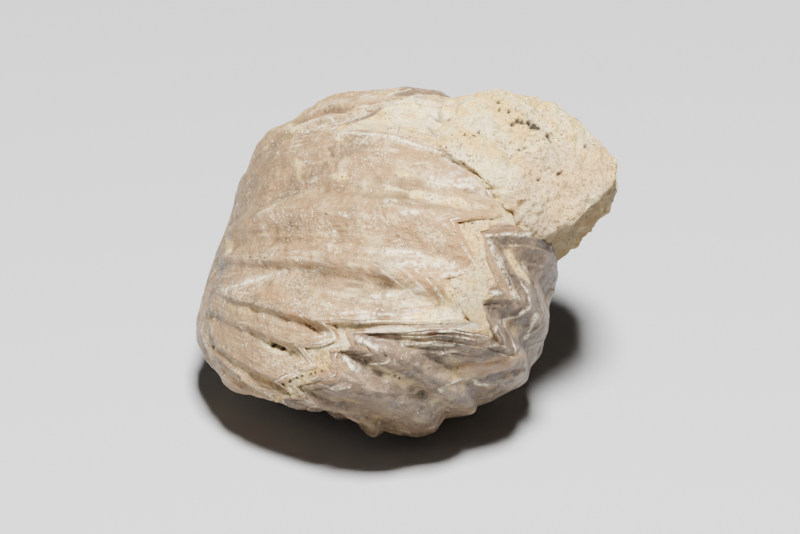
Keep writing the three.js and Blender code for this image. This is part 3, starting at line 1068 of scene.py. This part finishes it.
def bump(tree, shader, layers):
    """Stacks bump layers, each a height and how many millimetres it stands."""
    below = None
    for height, distance_mm in layers:
        node = tree.nodes.new("ShaderNodeBump")
        node.inputs["Distance"].default_value = distance_mm * MM
        tree.links.new(height, node.inputs["Height"])
        if below:
            tree.links.new(below, node.inputs["Normal"])
        below = node.outputs["Normal"]
    tree.links.new(below, shader.inputs["Normal"])


# %% Stone material
STONE_PALE = colour(255, 235, 178)
STONE_YELLOW = colour(255, 212, 118)
STONE_TAN = colour(178, 134, 84)
STONE_RUST = colour(132, 86, 54)
STONE_DARK = colour(70, 56, 44)
STONE_WORN = colour(220, 186, 144)
STONE_DIRT_AND_SHADE = colour(150, 132, 112)
SPECK_DARK = colour(62, 54, 46)
WHITE_EDGE = colour(252, 238, 204)


def stone_tint(tree):
    """Colour of dry sandy limestone, cream with rusty and dark grains."""
    rusty = times(tree, blotches(tree, 0.24, 2, 0.56, 0.66), blotches(tree, 4.0, 2, 0.36, 0.56))
    return painted(tree, STONE_PALE, [
        (blotches(tree, 2.8, 4, 0.4, 0.6), 1, STONE_YELLOW),
        (blotches(tree, 0.6, 6, 0.48, 0.66, 0.75), 0.7, STONE_TAN),
        (blotches(tree, 0.24, 3, 0.54, 0.64), 1, STONE_PALE),
        (rusty, 1, STONE_RUST),
        (blotches(tree, 0.2, 1, 0.72, 0.76), 1, STONE_DARK),
    ])


def stone_material(name):
    """Dry granular limestone, with a worn face, a dirty strip in the seam, painted shade below and black
    specks.
    """
    material, tree, shader = new_material(name)
    worn = value_of(tree, "worn")
    grains = times(tree, worn, blotches(tree, 0.3, 3, 0.52, 0.64, 0.7))
    tint = painted(tree, stone_tint(tree), [
        (worn, 0.55, STONE_WORN),
        (grains, 0.7, STONE_RUST),
        # A dirty strip on the seam stone, and painted shade on the lump's faces that look down.
        (value_of(tree, "dirt_and_shade"), 0.8, STONE_DIRT_AND_SHADE),
        (value_of(tree, "white"), 1, WHITE_EDGE),
        (value_of(tree, "speck"), 1, SPECK_DARK),
    ])
    tree.links.new(tint, shader.inputs["Base Color"])
    shader.inputs["Roughness"].default_value = 0.92
    shader.inputs["Specular IOR Level"].default_value = 0.25
    bump(tree, shader, [(noise(tree, 0.6, 8, 0.75), 1.0), (noise(tree, 0.2, 3), 0.3)])
    return material


limestone = stone_material("sandy_limestone")
print("nodes in the stone material:", len(limestone.node_tree.nodes))

# %% Shell material
BROWN_LINE = colour(104, 74, 48)
PIT_DARK = colour(58, 46, 36)
WAXY_ROUGHNESS = 0.28
DULL_ROUGHNESS = 0.8


def line_at(tree, distance, place, width):
    """1 along a line that runs this many millimetres from the lip."""
    away = maths(tree, "ABSOLUTE", maths(tree, "SUBTRACT", distance, place), 0.0)
    return steps(tree, away, width, 0)


def shell_tint(tree, cream, paints, rim_width, glint, hollow_shade_share):
    """Colour of the calcite, coat by coat, from blotches to marks."""
    base, pale, pink, shade, line_and_hollow_shade, rim = paints
    streaked = times(tree, steps(tree, streaky_noise(tree, 0.6, 4.0), 0.5, 0.7),
                     blotches(tree, 3.6, 3, 0.42, 0.6))
    bloom = times(tree, blotches(tree, 0.3, 8, 0.45, 0.75, 0.7), blotches(tree, 2.0, 5, 0.42, 0.66))
    hollow = value_of(tree, "hollow")
    wander = times(tree, maths(tree, "SUBTRACT", noise(tree, 1.4, 3), 0.5), 0.9)
    distance = maths(tree, "ADD", value_of(tree, "from_lip"), wander)
    broken = blotches(tree, 2.2, 3, 0.44, 0.56)
    dark_line = times(tree, line_at(tree, distance, rim_width + 0.45, 0.16), broken)
    white_line = times(tree, line_at(tree, distance, rim_width + 0.2, 0.15), broken)
    frost = times(tree, value_of(tree, "frost"), blotches(tree, 0.3, 6, 0.44, 0.6, 0.7))
    glints = times(tree, blotches(tree, 0.2, 2, 0.62, 0.67), blotches(tree, 1.7, 3, 0.48, 0.6))
    # White marks: white lines of the calcite, with painted highlights on the free edges of the layers and
    # along the upper lip.
    white = times(tree, value_of(tree, "white"), blotches(tree, 0.35, 5, 0.4, 0.56))
    return painted(tree, base, [
        (blotches(tree, 3.0, 5, 0.4, 0.6), 1, pink),
        (blotches(tree, 4.5, 5, 0.5, 0.64), 1, shade),
        (streaked, 1, pale),
        (steps(tree, streaky_noise(tree, 0.3, 2.5), 0.55, 0.7), 0.5, shade),
        (bloom, 1, pale),
        (blotches(tree, 0.22, 4, 0.52, 0.8, 0.7), 0.5, shade),
        # Painted shade on the sideways flanks and shaded facets, with grey patches of the calcite.
        (value_of(tree, "dark"), 0.65, shade),
        # Painted shade in hollows and a painted highlight on ridges.
        (steps(tree, hollow, 0.1, 0.9), hollow_shade_share, line_and_hollow_shade),
        (steps(tree, times(tree, hollow, -1), 0.2, 0.9), 0.5, pale),
        (steps(tree, distance, rim_width + 0.15, rim_width - 0.15), 0.85, rim),
        (dark_line, 1, line_and_hollow_shade),
        (white_line, 1, WHITE_EDGE),
        (blotches(tree, 1.1, 5, 0.54, 0.64, 0.65), 0.45, rim),
        (value_of(tree, "warm"), 0.8, rim),
        (value_of(tree, "brown"), 0.85, BROWN_LINE),
        (frost, 0.6, pale),
        (glints, glint, WHITE_EDGE),
        (cream, 1, stone_tint(tree)),
        (white, 1, WHITE_EDGE),
        (value_of(tree, "pit"), 1, PIT_DARK),
    ])


def shell_material(name, paints, rim_width, glint, hollow_shade_share):
    """Waxy calcite, dull where it is weathered or covered with cream stone."""
    material, tree, shader = new_material(name)
    cream = times(tree, value_of(tree, "cream"), blotches(tree, 0.5, 6, 0.24, 0.44))
    cream = maths(tree, "MAXIMUM", cream, value_of(tree, "stone"))
    tint = shell_tint(tree, cream, paints, rim_width, glint, hollow_shade_share)
    tree.links.new(tint, shader.inputs["Base Color"])
    rough = tree.nodes.new("ShaderNodeMapRange")
    rough.inputs["To Min"].default_value = WAXY_ROUGHNESS
    rough.inputs["To Max"].default_value = DULL_ROUGHNESS
    dull = maths(tree, "MAXIMUM", cream, blotches(tree, 0.9, 4, 0.4, 0.7))
    tree.links.new(dull, rough.inputs["Value"])
    tree.links.new(rough.outputs["Result"], shader.inputs["Roughness"])
    shader.inputs["Specular IOR Level"].default_value = 0.4
    shader.inputs["Coat Weight"].default_value = 0.1
    shader.inputs["Coat Roughness"].default_value = 0.25
    grain = noise(tree, 0.14, 3)
    bump(tree, shader, [(streaky_noise(tree, 0.35, 2.5), 0.12), (noise(tree, 0.8, 9, 0.66), 0.6),
                        (grain, 0.05), (times(tree, cream, grain), 0.2)])
    return material


# Paints: base, pale, pink, shade, the dark of the lip line and of the painted shade in hollows, and rim.
FLAT_PAINTS = (colour(157, 123, 80), colour(214, 189, 142), colour(150, 115, 75),
               colour(112, 90, 63), colour(86, 64, 42), colour(157, 119, 73))
DEEP_PAINTS = (colour(110, 90, 68), colour(152, 132, 106), colour(106, 84, 63),
               colour(74, 59, 46), colour(62, 48, 37), colour(146, 113, 76))
ventral_material = shell_material("ventral_calcite", FLAT_PAINTS, 0.45, 0.8, 0.65)
dorsal_material = shell_material("dorsal_calcite", DEEP_PAINTS, 0.4, 0.3, 0.5)
print("nodes in a shell material:", len(ventral_material.node_tree.nodes))

# %% Make both halves of the shell
COLOUR_VALUES = (
    "cream", "stone", "white", "dark", "warm", "brown", "frost", "hollow", "pit", "around", "from_lip")


def make_half(name, side, lip, marks, material, node):
    """Shapes, colours and makes one half."""
    grid = grid_of_half(side, lip)
    shape_half(grid, marks)
    colour_half(grid, marks)
    points, faces = close_half(grid)
    values = {title: np.append(grid[title].ravel(), 0) for title in COLOUR_VALUES}
    make_piece(name, within_bounds(points), faces, values, material, node)


make_half("ventral_shell", 1, flat_lip, FLAT_MARKS, ventral_material, "ventral_valve")
make_half("dorsal_shell", -1, deep_lip, DEEP_MARKS, dorsal_material, "dorsal_valve")

# %% [markdown]
# ## Stone in the seam
#
# The stone between the lips is the same cream limestone, worn a little lower than they are.
# It could be modelled tooth by tooth, but a ribbon that follows both lips and runs under
# them leaves no gap, whatever the lips do. It is closed at the back like any solid.

# %% Shape of the seam stone
RIBBON_COLUMNS = 900
RIBBON_ROWS = 14
RIBBON_UNDER_LIP = 1.5
RIBBON_SUNK = 0.05
RIBBON_THICK = 0.9
RIBBON_ENDS = 168
RIBBON_GRIT = ((0.07, 0.55, 41), (0.05, 0.28, 42), (0.08, 1.6, 43))


def seam_ribbon():
    """A closed band of stone between and under the lips."""
    angle, share = np.meshgrid(
        np.linspace(RIBBON_ENDS, -RIBBON_ENDS, RIBBON_COLUMNS), np.linspace(0, 1, RIBBON_ROWS),
        indexing="ij")
    top = line_height(flat_lip, angle) + RIBBON_UNDER_LIP
    bottom = line_height(deep_lip, angle) - RIBBON_UNDER_LIP
    points, facing = swollen_point(angle, top + (bottom - top) * share)
    outer = points + facing * (layered(points, RIBBON_GRIT) - RIBBON_SUNK)[..., None]
    inner = points - facing * RIBBON_THICK
    loop = np.concatenate([outer, inner[:, ::-1]], axis=1)
    rows = loop.shape[1]
    faces = []
    for column in range(RIBBON_COLUMNS - 1):
        for row in range(rows):
            a, b = column * rows + row, column * rows + (row + 1) % rows
            faces.append([a, b, b + rows, a + rows])
    faces.append(list(range(rows))[::-1])
    faces.append([(RIBBON_COLUMNS - 1) * rows + row for row in range(rows)])
    return loop.reshape(-1, 3), [face[::-1] for face in faces]


# %% Make the seam stone
SEAM_PITS = [
    (1.0, (473, 223)), (1.0, (322, 371)), (1.0, (315, 373)), (1.0, (311, 374)),
    (1.0, (302, 376)), (1.0, (297, 378)), (1.0, (461, 223)), (1.0, (290, 381)),
]
BROWN_STRIP = [(346, 323), (440, 324), (477, 319), (482, 326), (440, 330), (400, 328), (350, 329)]
WHITE_STRIPS = [
    (0.20, [(366, 332), (385, 330), (400, 329), (420, 331), (436, 332), (460, 328), (476, 325)]),
    (0.12, [(322, 347), (336, 346), (350, 343)]),
]
SEAM_WORN = 0.5

points, faces = seam_ribbon()
spots = in_photo(points)
stone_values = {
    "speck": pit_mask(spots, SEAM_PITS, 1.0, 2.2),
    "worn": np.full(len(points), SEAM_WORN),
    "dirt_and_shade": 0.8 * patch_mask(spots, [BROWN_STRIP], 0.1 * uneven(points, 0.6, 45)),
    "white": line_mask(spots, WHITE_STRIPS, 0.05 * uneven(points, 0.6, 46)),
}
make_piece("seam_stone", within_bounds(points), faces, stone_values, limestone)

# %% [markdown]
# ## The lump of stone
#
# The lump is soft, sandy limestone that broke off along rough faces. Sculpting would do it
# too. Here it starts as the hull of a few corners and of a skirt of spots that lie on the
# shell, so that it sits on what carries it. It is remeshed into small even faces, rounded
# a little by smoothing, and roughened with lumps, the smallest about a grain across.

# %% Shape of the lump
LUMP_CORNERS = [
    (3.5, -5, 28), (5.5, -6.5, 27.5), (7.5, -7.5, 26), (8.2, -8, 24.2), (10, -6.5, 22),
    (11.5, -6, 20), (13.5, -5.5, 21), (15.5, -4.5, 22), (17, -2.5, 23), (18, -1, 23.5),
    (18, 0, 24.5), (16.8, 1, 25.8), (15.2, 1.5, 26.7), (13.3, 2, 28), (11, 2, 29.2),
    (8.5, 2, 29.9), (6, 1.5, 29.3), (4, 1.5, 28.6),
    (18, 2, 20.5), (17, 1.5, 19), (15.5, 1, 17), (14, 0, 15.5), (13, -1, 15.5),
    (18, 9, 18.5), (16.5, 12.5, 19), (13.5, 14.5, 20.5), (10.5, 14, 22), (7, 11.5, 23.5),
    (4.5, 9, 24.5), (15, 8.5, 14), (12.5, 10, 12), (10.5, 14, 13.5), (7, 13.5, 18.5),
]
LUMP_SKIRT = [
    (440, 143), (456, 146), (468, 152), (481, 160), (493, 173), (501, 187), (509, 201), (517, 219),
    (530, 237), (546, 246), (446, 128), (452, 112), (456, 101),
]
SKIRT_PROUD = 0.1
LUMP_SHIFT = np.array([-0.293, -0.743, 0])
LUMP_FACE_MM = 0.17
LUMP_ROUNDING = 6
LUMP_ROUGHNESS = ((0.38, 4.5, 31), (0.32, 1.8, 32), (0.24, 0.8, 33), (0.17, 0.4, 34))
LUMP_FULLER = 0.15


def lump_surface():
    """Points and faces of the hull of the corners, remeshed fine."""
    hull = bmesh.new()
    for corner in LUMP_CORNERS:
        hull.verts.new(Vector((np.array(corner) + LUMP_SHIFT) * MM))
    for spot in LUMP_SKIRT:
        point, outward = point_under(spot)
        hull.verts.new(Vector((point + outward * SKIRT_PROUD) * MM))
    bmesh.ops.convex_hull(hull, input=hull.verts)
    mesh = bpy.data.meshes.new("lump_hull")
    hull.to_mesh(mesh)
    hull.free()
    block = bpy.data.objects.new("lump_hull", mesh)
    bpy.context.collection.objects.link(block)
    remesh = block.modifiers.new("even faces", "REMESH")
    remesh.mode = "VOXEL"
    remesh.voxel_size = LUMP_FACE_MM * MM
    rounding = block.modifiers.new("rounded edges", "SMOOTH")
    rounding.iterations = LUMP_ROUNDING
    rounding.factor = 0.5
    shaped = block.evaluated_get(bpy.context.evaluated_depsgraph_get()).to_mesh()
    points = np.empty(len(shaped.vertices) * 3)
    shaped.vertices.foreach_get("co", points)
    facing = np.empty(len(shaped.vertices) * 3)
    shaped.vertices.foreach_get("normal", facing)
    faces = [list(face.vertices) for face in shaped.polygons]
    bpy.data.objects.remove(block)
    return points.reshape(-1, 3) / MM, facing.reshape(-1, 3), faces


# %% Make the lump
LUMP_SPECKS = [
    (1.6, (499, 103)), (1.0, (499, 110)), (1.3, (508, 113)), (1.6, (513, 124)), (1.6, (517, 122)),
    (1.6, (521, 123)), (2.0, (528, 124)), (2.2, (532, 127)), (2.0, (535, 131)), (2.0, (547, 137)),
    (1.6, (551, 142)), (1.2, (521, 148)), (1.3, (525, 147)), (1.4, (586, 145)), (1.5, (479, 133)),
    (1.2, (465, 138)), (1.3, (474, 137)), (1.2, (449, 123)), (1.7, (560, 173)), (1.3, (540, 179)),
    (1.3, (563, 171)), (1.2, (513, 216)),
]
LUMP_GROOVES = [
    (1.1, 0.42, [(432, 138), (442, 153), (455, 163), (470, 171), (482, 184), (492, 198), (502, 210)]),
    (0.9, 0.25, [(537, 178), (552, 165), (575, 160), (598, 153)]),
    (0.5, 0.15, [(540, 172), (563, 172)]),
    (0.6, -0.2, [(617, 180), (596, 186), (584, 199), (571, 213), (559, 229)]),
]
LUMP_WORN = [(528, 158), (560, 150), (590, 140), (618, 165), (616, 182), (590, 208), (562, 250), (530, 236),
             (512, 214), (500, 186)]
SPECK_DEPTH = 0.12

points, facing, faces = lump_surface()
spots = seen_spots(points, facing)
rough = layered(points, LUMP_ROUGHNESS) + LUMP_FULLER
for width, depth, line in LUMP_GROOVES:
    rough = rough - depth * np.exp(-(line_distance(spots, line) / width) ** 2)
specks = pit_mask(spots, LUMP_SPECKS, 1.1, 1.8, uneven(points, 0.2, 35))
points = points + facing * (rough - SPECK_DEPTH * specks)[:, None]
blotch = 0.6 * uneven(points, 1.2, 36)
stone_values = {
    "speck": specks,
    "worn": patch_mask(spots, [LUMP_WORN], 2 * blotch),
    # Painted shade on the faces that look down.
    "dirt_and_shade": 0.9 * rise(-facing[:, 2] + 0.3 * blotch, 0.0, 0.45),
    "white": 0 * specks,
}
make_piece("rock_lump", within_bounds(points), faces, stone_values, limestone, "matrix_lump")

# %% [markdown]
# ## Floor and light
#
# The stage is plain so that the fossil does the talking. An image of a studio could light
# it, but two lamps are easier to reason about: one large soft light above the camera, as
# in the photograph, and a weaker one from the left that opens the shadows a little.

# %% Floor, lights and surroundings
FLOOR_SIZE = 2.0
FLOOR_GREY = (0.38, 0.38, 0.38, 1)
FLOOR_ROUGHNESS = 0.7
LIGHT_TARGET = Vector((0, 0, 0.014))
SURROUNDINGS_STRENGTH = 0.06

half = FLOOR_SIZE / 2
floor_mesh = bpy.data.meshes.new("floor")
floor_mesh.from_pydata(
    [(-half, -half, 0), (half, -half, 0), (half, half, 0), (-half, half, 0)], [], [(0, 1, 2, 3)])
floor = bpy.data.objects.new("floor", floor_mesh)
bpy.context.collection.objects.link(floor)
floor_material, tree, shader = new_material("pale_floor")
shader.inputs["Base Color"].default_value = FLOOR_GREY
shader.inputs["Roughness"].default_value = FLOOR_ROUGHNESS
floor_mesh.materials.append(floor_material)


def soft_light(name, place, size, power):
    """A square lamp that points at the fossil."""
    data = bpy.data.lights.new(name, "AREA")
    data.size = size
    data.energy = power
    lamp = bpy.data.objects.new(name, data)
    lamp.location = place
    lamp.rotation_euler = (LIGHT_TARGET - Vector(place)).to_track_quat("-Z", "Y").to_euler()
    bpy.context.collection.objects.link(lamp)
    print(name, "light in W:", power)


soft_light("key", (0.03, -0.22, 0.5), 0.1, 16.5)
soft_light("fill", (-0.5, -0.3, 0.3), 0.4, 0.35)

world = bpy.data.worlds.new("surroundings")
bpy.context.scene.world = world
world.use_nodes = True
background = world.node_tree.nodes["Background"]
background.inputs["Color"].default_value = (1, 1, 1, 1)
background.inputs["Strength"].default_value = SURROUNDINGS_STRENGTH
